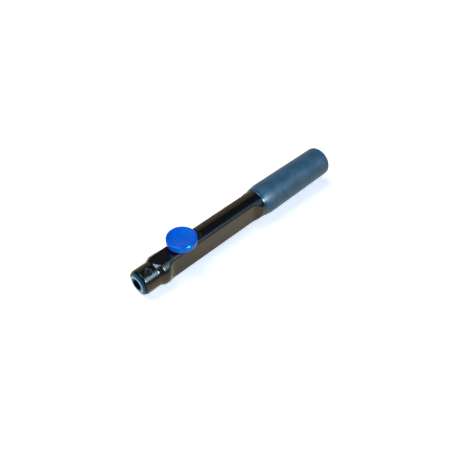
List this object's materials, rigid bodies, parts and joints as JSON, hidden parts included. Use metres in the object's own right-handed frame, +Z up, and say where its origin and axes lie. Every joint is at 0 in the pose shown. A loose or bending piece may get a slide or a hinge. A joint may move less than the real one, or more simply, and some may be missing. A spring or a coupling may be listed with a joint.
{
  "type": "vacuum pickup wand",
  "caption": "Slim hand-held vacuum pickup wand with a dished push button valve, a tip socket at the nose, flats along the grip and a tapered sleeve round the hose end.",
  "frame": {"origin": "on the wand's axis at the collar's front face, inside the tip socket's bore", "axes": "+X along the wand from the nose towards the hose end, +Z up through the push button, +Y to the left looking along +X"},
  "size_m": [0.1096, 0.0142, 0.0164],
  "materials": {
    "handle_black": "static-dissipative black polymer, fine turned and milled surface with a satin sheen",
    "bushing_cyan": "glossy cyan-blue moulded polymer",
    "button_blue": "semi-gloss saturated blue moulded polymer",
    "sleeve_greyblue": "satin blue-grey soft polymer",
    "seal_rubber": "matt black seal rubber",
    "steel": "fine turned stainless steel",
    "screw_black": "black oxide steel",
    "bush_plastic": "dark bearing polymer",
    "barb_metal": "plain turned aluminium"
  },
  "bodies": {
    "handle": {"handle_body": "handle_black", "tip_bushing": "bushing_cyan", "bushing_seal_ring": "seal_rubber", "tip_grip_ring": "seal_rubber", "inlet_screen": "steel", "set_screw": "screw_black", "valve_seat": "steel", "stem_bush": "bush_plastic", "stem_seal_ring": "seal_rubber", "return_spring": "steel", "valve_plug": "steel", "plug_seal_ring": "seal_rubber", "hose_barb": "barb_metal", "barb_seal_ring": "seal_rubber", "sleeve_ring_front": "seal_rubber", "sleeve_ring_rear": "seal_rubber", "tail_sleeve": "sleeve_greyblue"},
    "plunger": {"push_button": "button_blue", "valve_stem": "steel", "poppet_seal": "seal_rubber"}
  },
  "joints": [
    {"name": "button_press", "type": "slide", "parent": "handle", "child": "plunger", "axis": [0, 0, -1], "range_m": [0, 0.0007], "stiffness_N_per_m": 800, "springref_m": -0.002, "deforming": ["return_spring"]}
  ]
}
